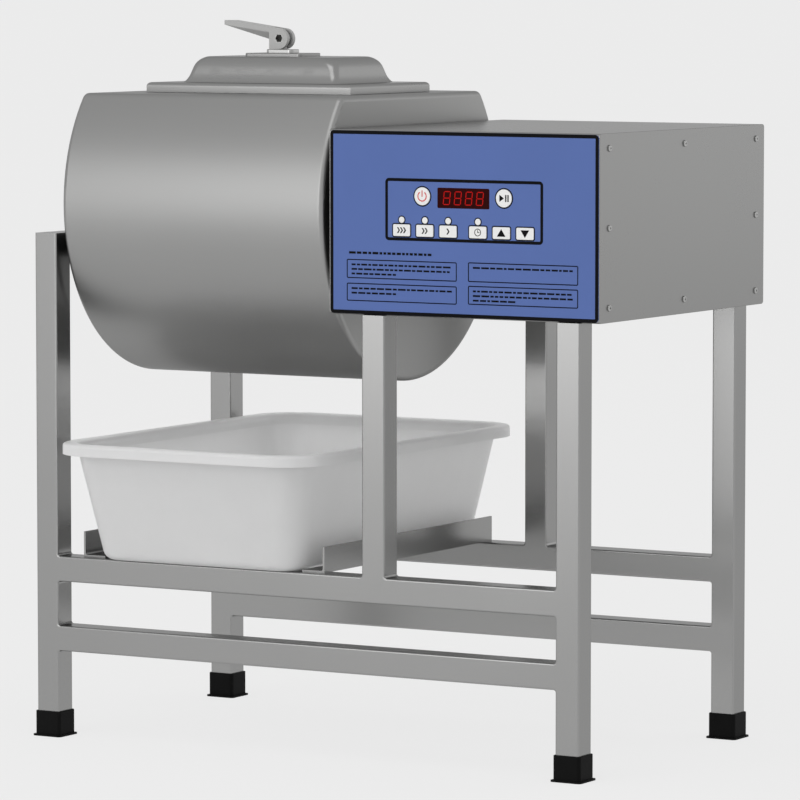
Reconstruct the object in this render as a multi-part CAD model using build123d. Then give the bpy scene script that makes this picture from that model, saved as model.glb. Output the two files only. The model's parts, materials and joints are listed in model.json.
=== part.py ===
from build123d import *
import os
from math import acos, atan2, cos, pi, sin

# Meat tumbler on a welded frame of square tube. Millimetres, +Z up, floor at Z = 0.
# +X runs along the drum axis to the drive housing, and the front with the keys faces -Y.

# Welded frame
TUBE = 38.0
TUBE_WALL = 1.5
TUBE_EDGE = 2.5
WELD_RADIUS = 4.0
FRAME_DEPTH = 523.8
UPPER_RAIL_TOP = 273.0
LOWER_RAIL_TOP = 168.3
MIDDLE_POST_INSET = 55.2
HOUSING_OVERHANG = 29.4

# Rubber feet
FOOT_HEIGHT = 38.0
FOOT_WALL = 3.0
FOOT_BASE = 4.0
FOOT_FLANGE = 6.0
FOOT_FLANGE_THICKNESS = 2.5
FOOT_CLEARANCE = 0.05

# Drum
DRUM_AXIS_HEIGHT = 799.1
DRUM_RADIUS = 262.2
DRUM_LENGTH = 452.8
DRUM_WALL = 2.0
DRUM_FLAT = 164.7
DRUM_RIM_RADIUS = 8.0
DRUM_CREASE_RADIUS = 14.0
DRUM_GAP = 10.4
VANE_COUNT = 3
VANE_HEIGHT = 45.0
VANE_THICKNESS = 4.0
VANE_END_GAP = 24.0
HUB_DIAMETER = 120.0
HUB_THICKNESS = 5.0

# Shaft, pillow blocks and their pedestals
SHAFT_DIAMETER = 30.0
SHAFT_RUNNING_CLEARANCE = 0.05
SHAFT_END = 4.0
BLOCK_CENTRE_HEIGHT = 42.9
BLOCK_LENGTH = 150.0
BLOCK_WIDTH = 38.0
BLOCK_FOOT = 15.0
BLOCK_HUB_RADIUS = 38.0
BLOCK_SHOULDER = 96.0
BLOCK_BOLT_SPACING = 118.0
INSERT_DIAMETER = 62.0
INSERT_PROUD = 2.0
BOLT_DIAMETER = 12.0
BOLT_HEAD = 8.0
BOLT_ACROSS_FLATS = 19.0
BOLT_TAIL = 8.0
BOLT_HOLE_CLEARANCE = 0.5
PEDESTAL_PLATE = 4.0
INNER_BLOCK_X = 45.0
OUTER_BLOCK_X = 155.0

# Drive housing
HOUSING_LENGTH = 441.6
HOUSING_INSET = 4.0
HOUSING_HEIGHT = 266.8
HOUSING_MIDDLE_DROP = 13.4
HOUSING_EDGE = 5.0
SHEET = 1.5
COVER_THICKNESS = 2.0
COVER_FLANGE = 42.0
SCREW_INSET_Y = 27.6
SCREW_INSET_Z = 21.0
SCREW_DIAMETER = 5.0
SCREW_HEAD_DIAMETER = 9.5
SCREW_HEAD_HEIGHT = 2.4
SCREW_LENGTH = 9.0
SCREW_CROSS_LENGTH = 4.6
SCREW_CROSS_WIDTH = 1.1
SHAFT_HOLE_CLEARANCE = 6.0
GLAND_HOLE_DIAMETER = 16.0
GLAND_NUT_ACROSS_FLATS = 22.0
GLAND_NUT_LENGTH = 6.0
GLAND_DOME_LENGTH = 14.0
GLAND_BORE = 8.0
GLAND_INSET_X = 60.0
GLAND_RISE = 40.0

# Belt drive
DRIVEN_PULLEY_RADIUS = 76.0
DRIVE_PULLEY_RADIUS = 38.0
PULLEY_DISTANCE = 168.0
PULLEY_X = 100.0
PULLEY_RIM = 4.0
PULLEY_WEB = 9.0
PULLEY_RING = 14.0
PULLEY_HUB_LENGTH = 28.0
DRIVEN_HUB_DIAMETER = 62.0
DRIVE_HUB_DIAMETER = 42.0
BELT_TOP_WIDTH = 13.0
BELT_BOTTOM_WIDTH = 8.0
BELT_HEIGHT = 8.0
BELT_CLEARANCE = 0.3

# Gear motor
MOTOR_CENTRE_HEIGHT = 71.3
MOTOR_SHAFT_DIAMETER = 20.0
MOTOR_SHAFT_DEPTH = 30.0
GEARBOX_X = 124.0
GEARBOX_LENGTH = 84.0
GEARBOX_DIAMETER = 116.0
GEARBOX_BOSS_DIAMETER = 52.0
GEARBOX_BOSS_LENGTH = 6.0
MOTOR_END_GAP = 59.6
MOTOR_DIAMETER = 104.0
MOTOR_FIN_COUNT = 18
MOTOR_FIN_HEIGHT = 4.0
MOTOR_FIN_WIDTH = 4.0
FAN_COVER_LENGTH = 38.0
MOTOR_FOOT_WIDTH = 136.0
MOTOR_FOOT_THICKNESS = 10.0
MOTOR_BOLT_SPACING = 112.0

# Control panel on the front of the housing, measured from the housing's left bottom corner
PANEL_MARGIN = 1.5
PANEL_CORNER = 6.0
PANEL_THICKNESS = 1.2
PANEL_WINDOW_CENTRE_X = 222.0
PANEL_WINDOW_CENTRE_Z = 151.0
PANEL_WINDOW_LENGTH = 244.0
PANEL_WINDOW_HEIGHT = 84.0
APERTURE_CLEARANCE = 0.2
KEY_LENGTH = 28.0
KEY_HEIGHT = 16.8
KEY_CORNER = 2.0
KEY_PITCH = 38.3
KEY_ROW_Z = 123.8
KEY_GROUP_XS = (159.2, 284.4)
ROUND_KEY_DIAMETER = 25.6
POWER_KEY_X = 155.0
START_KEY_X = 288.4
ROUND_KEY_Z = 173.1
KEY_PROUD = 0.9
KEY_TRAVEL = 0.6
KEY_FLANGE = 1.6
KEY_FLANGE_THICKNESS = 1.2
KEY_STEM = 4.0
DISPLAY_X = 222.2
DISPLAY_Z = 171.5
DISPLAY_LENGTH = 85.0
DISPLAY_HEIGHT = 29.2
LENS_DIAMETER = 9.2
LENS_ROW_Z = 138.7
LENS_PROUD = 0.8
BOARD_LENGTH = 276.0
BOARD_HEIGHT = 112.0
BOARD_THICKNESS = 1.6
BOARD_GAP = 14.0
STANDOFF_DIAMETER = 7.0
STANDOFF_INSET = 5.5
SWITCH_SIZE = 6.0

# Lid and its opening in the drum's flat
OPENING_LENGTH = 264.0
OPENING_WIDTH = 156.0
OPENING_CORNER = 34.0
COLLAR_WALL = 4.0
COLLAR_DEPTH = 28.0
LID_OFFSET = 8.4
LID_LENGTH = 357.0
LID_WIDTH = 232.0
LID_FLANGE_HEIGHT = 14.6
LID_FLANGE_EDGE = 6.0
LID_SHEET = 1.5
LID_GAP = 0.4
DOME_LENGTH = 276.0
DOME_WIDTH = 173.0
DOME_CORNER = 5.0
DOME_TOP_CORNER = 24.0
DOME_HEIGHT = 38.5
DOME_LEAN = 26.0
DOME_LEVELS = ((-0.03, 0.0), (0.05, 0.15), (0.2, 0.27), (0.5, 0.4), (0.75, 0.53), (0.9, 0.7), (0.98, 0.88),
               (1.0, 1.0))
TRAY_RIM = 24.0
TRAY_DEPTH = 6.5
PLUG_CLEARANCE = 3.0
SEAL_CLEARANCE = 0.5
SEAL_HEIGHT = 13.0
SEAL_WIDTH = 14.0
GASKET_INSET = 4.0
GASKET_CORNER = 6.0
PRESSURE_PLATE = 4.0

# Cam clamp on the lid
CLAMP_OFFSET = -9.3
CLAMP_PLATE_LENGTH = 99.0
CLAMP_PLATE_WIDTH = 62.0
CLAMP_PLATE_THICKNESS = 5.0
CLAMP_PLATE_CORNER = 6.0
PAD_LENGTH = 46.0
PAD_WIDTH = 26.0
PAD_THICKNESS = 5.6
PAD_CORNER = 6.0
CAM_RADIUS = 15.5
CAM_THROW = 0.75
CAM_CLEARANCE = 0.3
LEVER_WIDTH = 23.0
LEVER_SLOT = 10.0
LEVER_CHEEK_BACK = 17.4
LEVER_LENGTH = 99.0
LEVER_TIP_RISE = 26.7
LEVER_TIP_HEIGHT = 6.8
LEVER_TIP_FLAT = 15.0
LEVER_TIP_WIDTH = 15.0
LEVER_NECK_DROP = 2.1
LEVER_BEVEL_RISE = 9.0
LEVER_BEVEL_DEPTH = 6.0
EYE_RADIUS = 12.0
EYE_SIDE_CLEARANCE = 0.3
PIN_DIAMETER = 15.0
PIN_SOCKET = 11.0
PIN_SOCKET_DEPTH = 14.0
ROD_DIAMETER = 12.0
ROD_HOLE_CLEARANCE = 0.5
ROD_TAIL = 6.0
NUT_ACROSS_FLATS = 19.0
NUT_HEIGHT = 10.0

# Meat tub and the two angle rails beside it
TUB_LEFT_GAP = 22.9
TUB_RIGHT_GAP = 55.7
TUB_OVERHANG = 69.3
TUB_RIM_CORNER = 72.0
TUB_RIM_HEIGHT = 16.7
TUB_RIM_REACH = 23.8
TUB_RIM_EDGE = 5.0
TUB_LIP_EDGE = 10.0
TUB_DRUM_GAP = 88.3
TUB_TAPER_DEPTH = 158.9
TUB_TAPER_X = 28.3
TUB_TAPER_Y = 33.7
TUB_FLOOR_CORNER = 40.0
TUB_FLOOR_EDGE = 16.0
TUB_WALL = 3.0
ANGLE_LEG = 38.0
ANGLE_THICKNESS = 3.0
ANGLE_INSET = 13.65
ANGLE_OFFSET = 37.0

# Depths and lengths that follow from the sizes above
HOUSING_DEPTH = FRAME_DEPTH - 2 * HOUSING_INSET
TUB_RIM_DEPTH = FRAME_DEPTH + 2 * TUB_OVERHANG
ANGLE_LENGTH = FRAME_DEPTH - 2 * ANGLE_INSET
FRAME_LENGTH = TUBE + 2 * DRUM_GAP + DRUM_LENGTH + HOUSING_LENGTH - HOUSING_OVERHANG
OVERALL_LENGTH = FOOT_FLANGE + FRAME_LENGTH + HOUSING_OVERHANG + SCREW_HEAD_HEIGHT
FRAME_LEFT = FOOT_FLANGE - OVERALL_LENGTH / 2
FRAME_RIGHT = FRAME_LEFT + FRAME_LENGTH
DRUM_LEFT = FRAME_LEFT + TUBE + DRUM_GAP
DRUM_RIGHT = DRUM_LEFT + DRUM_LENGTH
DRUM_CENTRE = (DRUM_LEFT + DRUM_RIGHT) / 2
HOUSING_LEFT = DRUM_RIGHT + DRUM_GAP
HOUSING_RIGHT = HOUSING_LEFT + HOUSING_LENGTH
HOUSING_BOTTOM = DRUM_AXIS_HEIGHT - (HOUSING_MIDDLE_DROP + HOUSING_HEIGHT / 2)
HOUSING_TOP = HOUSING_BOTTOM + HOUSING_HEIGHT
HOUSING_FRONT = -HOUSING_DEPTH / 2
HOUSING_FLOOR = HOUSING_BOTTOM + SHEET
MIDDLE_POST_LEFT = HOUSING_LEFT + MIDDLE_POST_INSET
LEFT_POST_TOP = DRUM_AXIS_HEIGHT - BLOCK_CENTRE_HEIGHT
POST_Y = (FRAME_DEPTH - TUBE) / 2
FLAT_Z = DRUM_AXIS_HEIGHT + DRUM_FLAT
MOTOR_LENGTH = HOUSING_LENGTH - GEARBOX_X - GEARBOX_LENGTH - FAN_COVER_LENGTH - MOTOR_END_GAP
TUB_RIM_LENGTH = MIDDLE_POST_LEFT - FRAME_LEFT - TUBE - TUB_LEFT_GAP - TUB_RIGHT_GAP
TUB_X = FRAME_LEFT + TUBE + TUB_LEFT_GAP + TUB_RIM_LENGTH / 2
TUB_HEIGHT = DRUM_AXIS_HEIGHT - DRUM_RADIUS - TUB_DRUM_GAP - UPPER_RAIL_TOP
TUB_TAPER_SHARE = (TUB_HEIGHT - TUB_RIM_HEIGHT) / TUB_TAPER_DEPTH
TUB_FLOOR_LENGTH = TUB_RIM_LENGTH - 2 * TUB_RIM_REACH - 2 * TUB_TAPER_X * TUB_TAPER_SHARE
TUB_FLOOR_DEPTH = TUB_RIM_DEPTH - 2 * TUB_RIM_REACH - 2 * TUB_TAPER_Y * TUB_TAPER_SHARE


def box_span(x0, x1, y0, y1, z0, z1):
    return Pos((x0 + x1) / 2, (y0 + y1) / 2, (z0 + z1) / 2) * Box(x1 - x0, y1 - y0, z1 - z0)


def rod_x(x0, x1, y, z, diameter):
    return extrude(Plane.YZ.offset(x0) * Pos(y, z) * Circle(diameter / 2), x1 - x0)


def rod_y(y0, y1, x, z, diameter):
    return Pos(x, (y0 + y1) / 2, z) * Rot(90, 0, 0) * Cylinder(diameter / 2, y1 - y0)


def rod_z(z0, z1, x, y, diameter):
    return Pos(x, y, (z0 + z1) / 2) * Cylinder(diameter / 2, z1 - z0)


def slab(x, y, z0, z1, length, width, corner):
    """A flat block with rounded upright corners."""
    return extrude(Plane.XY.offset(z0) * Pos(x, y) * RectangleRounded(length, width, corner), z1 - z0)


def hexagon_z(z0, z1, x, y, across_flats):
    outline = RegularPolygon(across_flats / 2, 6, major_radius=False)
    return extrude(Plane.XY.offset(z0) * Pos(x, y) * outline, z1 - z0)


def group(solids):
    return Compound(children=[shape.solid() for shape in solids])


# Frame

def ladder(y):
    """Cut one welded side of the frame into its tubes, so that the welds run without a step."""
    def panel(x0, x1, z0, z1):
        return Plane.XZ * Pos((x0 + x1) / 2, (z0 + z1) / 2) * Rectangle(x1 - x0, z1 - z0)

    right_post = FRAME_RIGHT - TUBE
    outline = panel(FRAME_LEFT, FRAME_LEFT + TUBE, FOOT_BASE, LEFT_POST_TOP)
    outline += panel(right_post, FRAME_RIGHT, FOOT_BASE, HOUSING_BOTTOM)
    outline += panel(MIDDLE_POST_LEFT, MIDDLE_POST_LEFT + TUBE, UPPER_RAIL_TOP - TUBE, HOUSING_BOTTOM)
    for top in (UPPER_RAIL_TOP, LOWER_RAIL_TOP):
        outline += panel(FRAME_LEFT, FRAME_RIGHT, top - TUBE, top)
    corners = outline.vertices().filter_by(
        lambda v: FRAME_LEFT + 1 < v.X < FRAME_RIGHT - 1
        and LOWER_RAIL_TOP - TUBE - 1 < v.Z < UPPER_RAIL_TOP + 1)
    solid = extrude(fillet(corners, WELD_RADIUS), TUBE / 2, both=True)
    ends = (FOOT_BASE, LEFT_POST_TOP, HOUSING_BOTTOM)
    long_edges = solid.faces().filter_by(Axis.Y).edges().filter_by(
        lambda e: min(abs(e.center().Z - end) for end in ends) > 0.01)
    solid = Pos(0, y, 0) * fillet(long_edges, TUBE_EDGE)

    side = TUBE / 2
    wall = TUBE_WALL
    front, back = y - side, y + side

    def post(x, z0, z1, flare):
        tube = solid & box_span(x - flare, x + TUBE + flare, front, back, z0, z1)
        return tube - box_span(x + wall, x + TUBE - wall, front + wall, back - wall, z0, z1 - wall)

    def rail(top):
        reach = WELD_RADIUS + 1
        inner_left, inner_right = FRAME_LEFT + TUBE, right_post
        tube = solid & box_span(inner_left, inner_right, front, back, top - TUBE - reach, top + reach)
        tube -= box_span(MIDDLE_POST_LEFT - reach, MIDDLE_POST_LEFT + TUBE + reach,
                         front, back, top, top + reach)
        return tube - box_span(inner_left, inner_right, front + wall, back - wall,
                               top - TUBE + wall, top - wall)

    return {
        "left_post": post(FRAME_LEFT, FOOT_BASE, LEFT_POST_TOP, 0),
        "right_post": post(right_post, FOOT_BASE, HOUSING_BOTTOM, 0),
        "middle_post": post(MIDDLE_POST_LEFT, UPPER_RAIL_TOP, HOUSING_BOTTOM, WELD_RADIUS),
        "upper_rail": rail(UPPER_RAIL_TOP),
        "lower_rail": rail(LOWER_RAIL_TOP),
    }


def bearing_beam():
    half = FRAME_DEPTH / 2 - TUBE
    x = FRAME_LEFT + TUBE / 2
    section = RectangleRounded(TUBE, TUBE, TUBE_EDGE)
    section -= RectangleRounded(TUBE - 2 * TUBE_WALL, TUBE - 2 * TUBE_WALL, TUBE_EDGE - TUBE_WALL)
    beam = extrude(Plane.XZ * Pos(x, LEFT_POST_TOP - TUBE / 2) * section, half, both=True)
    for y in block_bolt_ys():
        beam -= rod_z(LEFT_POST_TOP - TUBE / 2, LEFT_POST_TOP, x, y, BOLT_DIAMETER + 2 * BOLT_HOLE_CLEARANCE)
    return beam


def rubber_foot(x, y):
    cap = slab(x, y, 0, FOOT_HEIGHT, TUBE + 2 * FOOT_WALL, TUBE + 2 * FOOT_WALL, TUBE_EDGE + FOOT_WALL)
    top_edges = cap.faces().sort_by(Axis.Z)[-1].edges()
    cap = fillet(top_edges, FOOT_WALL / 3)
    cap += slab(x, y, 0, FOOT_FLANGE_THICKNESS, TUBE + 2 * FOOT_FLANGE, TUBE + 2 * FOOT_FLANGE,
                TUBE_EDGE + FOOT_FLANGE / 2)
    socket = TUBE + 2 * FOOT_CLEARANCE
    return cap - slab(x, y, FOOT_BASE, FOOT_HEIGHT, socket, socket, TUBE_EDGE)


def tub_rail(side):
    """An angle across the two upper rails beside the tub, its upright leg outside."""
    x = TUB_X + side * (TUB_FLOOR_LENGTH / 2 + ANGLE_OFFSET)
    flat = Rectangle(ANGLE_LEG, ANGLE_THICKNESS, align=(Align.MAX, Align.MIN))
    upright = Rectangle(ANGLE_THICKNESS, ANGLE_LEG, align=(Align.MAX, Align.MIN))
    section = flat + upright
    root = section.vertices().sort_by_distance((-ANGLE_THICKNESS, ANGLE_THICKNESS, 0))[0]
    section = fillet(root, ANGLE_THICKNESS)
    if side < 0:
        section = mirror(section, Plane.YZ)
    return extrude(Plane.XZ * Pos(x, UPPER_RAIL_TOP) * section, ANGLE_LENGTH / 2, both=True)


# Bearings

def block_bolt_ys():
    return (-BLOCK_BOLT_SPACING / 2, BLOCK_BOLT_SPACING / 2)


def pillow_block(x):
    """A cast housing with a stepped foot, centred on the drum axis at the given X."""
    seat = -BLOCK_CENTRE_HEIGHT
    outline = Pos(0, seat + BLOCK_FOOT / 2) * Rectangle(BLOCK_LENGTH, BLOCK_FOOT)
    outline += make_face(Polyline(
        (-BLOCK_SHOULDER / 2, seat), (BLOCK_SHOULDER / 2, seat),
        (BLOCK_HUB_RADIUS, 0), (-BLOCK_HUB_RADIUS, 0), close=True))
    outline += Circle(BLOCK_HUB_RADIUS)
    outline -= Circle(INSERT_DIAMETER / 2)
    plane = Plane.YZ.offset(x) * Pos(0, DRUM_AXIS_HEIGHT)
    block = extrude(plane * outline, BLOCK_WIDTH / 2, both=True)
    z0 = DRUM_AXIS_HEIGHT + seat
    for y in block_bolt_ys():
        block -= rod_z(z0, z0 + BLOCK_FOOT, x, y, BOLT_DIAMETER + 2 * BOLT_HOLE_CLEARANCE)
    return block


def bearing_insert(x):
    half = BLOCK_WIDTH / 2 + INSERT_PROUD
    ring = rod_x(x - half, x + half, 0, DRUM_AXIS_HEIGHT, INSERT_DIAMETER)
    return ring - rod_x(x - half, x + half, 0, DRUM_AXIS_HEIGHT,
                        SHAFT_DIAMETER + 2 * SHAFT_RUNNING_CLEARANCE)


def hex_bolt(x, y, seat, grip):
    """A bolt whose head sits at the seat height, with its shank through what it grips."""
    head = hexagon_z(seat, seat + BOLT_HEAD, x, y, BOLT_ACROSS_FLATS)
    return head + rod_z(seat - grip - BOLT_TAIL, seat, x, y, BOLT_DIAMETER)


def pedestal(x):
    """An upside-down channel between the housing floor and a pillow block."""
    top = DRUM_AXIS_HEIGHT - BLOCK_CENTRE_HEIGHT
    half = BLOCK_WIDTH / 2 + PEDESTAL_PLATE
    ends = BLOCK_LENGTH / 2
    channel = box_span(x - half, x + half, -ends, ends, HOUSING_FLOOR, top)
    channel -= box_span(x - half + PEDESTAL_PLATE, x + half - PEDESTAL_PLATE, -ends, ends,
                        HOUSING_FLOOR, top - PEDESTAL_PLATE)
    for y in block_bolt_ys():
        channel -= rod_z(top - PEDESTAL_PLATE, top, x, y, BOLT_DIAMETER + 2 * BOLT_HOLE_CLEARANCE)
    return channel


# Drum

def drum_body(inset):
    """The drum's outside, or its inside when inset by the wall."""
    radius, flat = DRUM_RADIUS - inset, DRUM_FLAT - inset
    outline = Circle(radius) - Pos(0, flat + radius) * Rectangle(2 * radius, 2 * radius)
    creases = outline.vertices().filter_by(lambda v: v.Y > flat - 1)
    outline = fillet(creases, DRUM_CREASE_RADIUS - inset)
    plane = Plane.YZ.offset(DRUM_LEFT + inset) * Pos(0, DRUM_AXIS_HEIGHT)
    body = extrude(plane * outline, DRUM_LENGTH - 2 * inset)
    return fillet(body.faces().filter_by(Axis.X).edges(), DRUM_RIM_RADIUS - inset)


LID_X = DRUM_CENTRE + LID_OFFSET


def opening_slab(grow, z0, z1):
    """A block with the outline of the opening, grown on every side."""
    return slab(LID_X, 0, z0, z1, OPENING_LENGTH + 2 * grow, OPENING_WIDTH + 2 * grow,
                OPENING_CORNER + grow)


def drum_shell():
    shell = drum_body(0) - drum_body(DRUM_WALL)
    return shell - opening_slab(COLLAR_WALL, FLAT_Z - COLLAR_DEPTH, FLAT_Z + 1)


def opening_collar():
    return opening_slab(COLLAR_WALL, FLAT_Z - COLLAR_DEPTH, FLAT_Z) - opening_slab(
        0, FLAT_Z - COLLAR_DEPTH, FLAT_Z)


def mixing_vanes():
    """Flat strips along the drum wall, spread evenly and clear of the opening."""
    inner = DRUM_RADIUS - DRUM_WALL
    bore = rod_x(DRUM_LEFT, DRUM_RIGHT, 0, DRUM_AXIS_HEIGHT, 2 * inner)
    strip = box_span(DRUM_LEFT + VANE_END_GAP, DRUM_RIGHT - VANE_END_GAP,
                     -VANE_THICKNESS / 2, VANE_THICKNESS / 2,
                     DRUM_AXIS_HEIGHT - inner - 1, DRUM_AXIS_HEIGHT - inner + VANE_HEIGHT)
    strip &= bore
    axis = Axis((0, 0, DRUM_AXIS_HEIGHT), (1, 0, 0))
    return group([strip.rotate(axis, turn * 360 / VANE_COUNT) for turn in range(VANE_COUNT)])


def drum_shaft(end_x, tip_x):
    """A stub shaft on a round flange, welded to the drum's end and running out to the tip."""
    away = 1 if tip_x > end_x else -1
    flange_end = end_x + away * HUB_THICKNESS
    flange = rod_x(min(end_x, flange_end), max(end_x, flange_end), 0, DRUM_AXIS_HEIGHT, HUB_DIAMETER)
    return flange + rod_x(min(end_x, tip_x), max(end_x, tip_x), 0, DRUM_AXIS_HEIGHT, SHAFT_DIAMETER)


# Drive housing

def housing_slab(x0, x1, inset):
    outline = RectangleRounded(HOUSING_DEPTH - 2 * inset, HOUSING_HEIGHT - 2 * inset,
                               max(HOUSING_EDGE - inset, SHEET))
    plane = Plane.YZ.offset(x0) * Pos(0, HOUSING_BOTTOM + HOUSING_HEIGHT / 2)
    return extrude(plane * outline, x1 - x0)


def cover_screw_places():
    y = HOUSING_DEPTH / 2 - SCREW_INSET_Y
    low, high = HOUSING_BOTTOM + SCREW_INSET_Z, HOUSING_TOP - SCREW_INSET_Z
    middle = (low + high) / 2
    return [(-y, low), (0, low), (y, low), (-y, middle), (y, middle), (-y, high), (0, high), (y, high)]


def with_screw_holes(plate, x0, x1):
    for y, z in cover_screw_places():
        plate -= rod_x(x0, x1, y, z, SCREW_DIAMETER + 2 * BOLT_HOLE_CLEARANCE)
    return plate


def panel_point(x, z):
    return HOUSING_LEFT + x, HOUSING_BOTTOM + z


GLAND_X = HOUSING_RIGHT - GLAND_INSET_X
GLAND_Z = HOUSING_BOTTOM + GLAND_RISE


def drive_housing():
    rim = HOUSING_RIGHT - COVER_THICKNESS
    shell = housing_slab(HOUSING_LEFT, rim, 0) - housing_slab(HOUSING_LEFT + SHEET, rim - SHEET, SHEET)
    shell -= housing_slab(rim - SHEET, rim, COVER_FLANGE)
    shell = with_screw_holes(shell, rim - SHEET, rim)
    shell -= rod_x(HOUSING_LEFT, HOUSING_LEFT + SHEET, 0, DRUM_AXIS_HEIGHT,
                   SHAFT_DIAMETER + 2 * SHAFT_HOLE_CLEARANCE)
    x, z = panel_point(PANEL_WINDOW_CENTRE_X, PANEL_WINDOW_CENTRE_Z)
    shell -= box_span(x - PANEL_WINDOW_LENGTH / 2, x + PANEL_WINDOW_LENGTH / 2,
                      HOUSING_FRONT, HOUSING_FRONT + SHEET,
                      z - PANEL_WINDOW_HEIGHT / 2, z + PANEL_WINDOW_HEIGHT / 2)
    back = HOUSING_DEPTH / 2
    return shell - rod_y(back - SHEET, back, GLAND_X, GLAND_Z, GLAND_HOLE_DIAMETER)


def side_cover():
    plate = housing_slab(HOUSING_RIGHT - COVER_THICKNESS, HOUSING_RIGHT, 0)
    plate = fillet(plate.faces().sort_by(Axis.X)[-1].edges(), COVER_THICKNESS / 2)
    return with_screw_holes(plate, HOUSING_RIGHT - COVER_THICKNESS, HOUSING_RIGHT)


def cover_screw(y, z):
    """A pan head with a cross recess, and its shank through the cover and the flange."""
    top = HOUSING_RIGHT + SCREW_HEAD_HEIGHT
    head = rod_x(HOUSING_RIGHT, top, y, z, SCREW_HEAD_DIAMETER)
    head = fillet(head.faces().sort_by(Axis.X)[-1].edges(), SCREW_HEAD_HEIGHT * 0.6)
    depth = SCREW_HEAD_HEIGHT / 2
    for length, width in ((SCREW_CROSS_LENGTH, SCREW_CROSS_WIDTH), (SCREW_CROSS_WIDTH, SCREW_CROSS_LENGTH)):
        head -= box_span(top - depth, top, y - length / 2, y + length / 2, z - width / 2, z + width / 2)
    return head + rod_x(HOUSING_RIGHT - SCREW_LENGTH, HOUSING_RIGHT, y, z, SCREW_DIAMETER)


def power_gland():
    """A threaded gland through the back wall: lock nut inside, hexagon and dome outside."""
    wall = HOUSING_DEPTH / 2
    def hexagon(y0, y1):
        turned = Pos(GLAND_X, y0, GLAND_Z) * Rot(-90, 0, 0)
        return turned * hexagon_z(0, y1 - y0, 0, 0, GLAND_NUT_ACROSS_FLATS)
    tip = wall + GLAND_NUT_LENGTH + GLAND_DOME_LENGTH
    body = hexagon(wall, wall + GLAND_NUT_LENGTH)
    body += hexagon(wall - SHEET - GLAND_NUT_LENGTH, wall - SHEET)
    body += rod_y(wall - SHEET, wall, GLAND_X, GLAND_Z, GLAND_HOLE_DIAMETER)
    dome = rod_y(wall + GLAND_NUT_LENGTH, tip, GLAND_X, GLAND_Z, GLAND_HOLE_DIAMETER + 2 * SHEET)
    body += fillet(dome.faces().sort_by(Axis.Y)[-1].edges(), GLAND_HOLE_DIAMETER / 5)
    return body - rod_y(wall - SHEET - GLAND_NUT_LENGTH, tip, GLAND_X, GLAND_Z, GLAND_BORE)


# Control panel

def front_slab(outline, x, z, front, thickness):
    """A plate that faces the front: its outer face lies at Y = front."""
    return extrude(Plane.XZ.offset(-front) * Pos(*panel_point(x, z)) * outline, -thickness)


PANEL_FRONT = HOUSING_FRONT - PANEL_THICKNESS


def key_outline(grow):
    return RectangleRounded(KEY_LENGTH + 2 * grow, KEY_HEIGHT + 2 * grow, KEY_CORNER + max(grow, 0))


def round_key_outline(grow):
    return Circle(ROUND_KEY_DIAMETER / 2 + grow)


def key_places():
    """Every key by name, with its outline and its place on the panel."""
    places = {
        "power_key": (round_key_outline, POWER_KEY_X, ROUND_KEY_Z),
        "start_key": (round_key_outline, START_KEY_X, ROUND_KEY_Z),
    }
    names = ("fast_key", "medium_key", "slow_key", "time_key", "up_key", "down_key")
    xs = [centre + step * KEY_PITCH for centre in KEY_GROUP_XS for step in (-1, 0, 1)]
    for name, x in zip(names, xs):
        places[name] = (key_outline, x, KEY_ROW_Z)
    return places


def lens_xs():
    first = [KEY_GROUP_XS[0] + step * KEY_PITCH for step in (-1, 0, 1)]
    return first + [KEY_GROUP_XS[1] - KEY_PITCH]


def display_outline(grow):
    return RectangleRounded(DISPLAY_LENGTH + 2 * grow, DISPLAY_HEIGHT + 2 * grow, KEY_CORNER)


def panel_overlay():
    length, height = HOUSING_LENGTH - 2 * PANEL_MARGIN, HOUSING_HEIGHT - 2 * PANEL_MARGIN
    plate = RectangleRounded(length, height, PANEL_CORNER)
    overlay = front_slab(plate, HOUSING_LENGTH / 2, HOUSING_HEIGHT / 2, PANEL_FRONT, PANEL_THICKNESS)
    for outline, x, z in key_places().values():
        overlay -= front_slab(outline(APERTURE_CLEARANCE), x, z, PANEL_FRONT, PANEL_THICKNESS)
    for x in lens_xs():
        overlay -= front_slab(Circle(LENS_DIAMETER / 2), x, LENS_ROW_Z, PANEL_FRONT, PANEL_THICKNESS)
    return overlay - front_slab(display_outline(0), DISPLAY_X, DISPLAY_Z, PANEL_FRONT, PANEL_THICKNESS)


BOARD_FRONT = HOUSING_FRONT + SHEET + BOARD_GAP
KEY_BACK = HOUSING_FRONT + KEY_FLANGE_THICKNESS
SWITCH_FRONT = BOARD_FRONT - SWITCH_SIZE


def key(outline, x, z):
    """A key cap with a flange behind the overlay and a stem that reaches its switch."""
    front = PANEL_FRONT - KEY_PROUD
    cap = front_slab(outline(0), x, z, front, KEY_PROUD + PANEL_THICKNESS)
    cap = fillet(cap.faces().sort_by(Axis.Y)[0].edges(), KEY_PROUD / 2)
    cap += front_slab(outline(KEY_FLANGE), x, z, HOUSING_FRONT, KEY_FLANGE_THICKNESS)
    stem = SWITCH_FRONT - KEY_TRAVEL - APERTURE_CLEARANCE - KEY_BACK
    return cap + front_slab(Circle(KEY_STEM / 2), x, z, KEY_BACK, stem)


def display_window():
    window = front_slab(display_outline(0), DISPLAY_X, DISPLAY_Z, PANEL_FRONT, PANEL_THICKNESS)
    return window + front_slab(display_outline(KEY_FLANGE), DISPLAY_X, DISPLAY_Z, HOUSING_FRONT, SHEET)


def display_module():
    start = HOUSING_FRONT + SHEET
    return front_slab(display_outline(0), DISPLAY_X, DISPLAY_Z, start, BOARD_FRONT - start)


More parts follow.
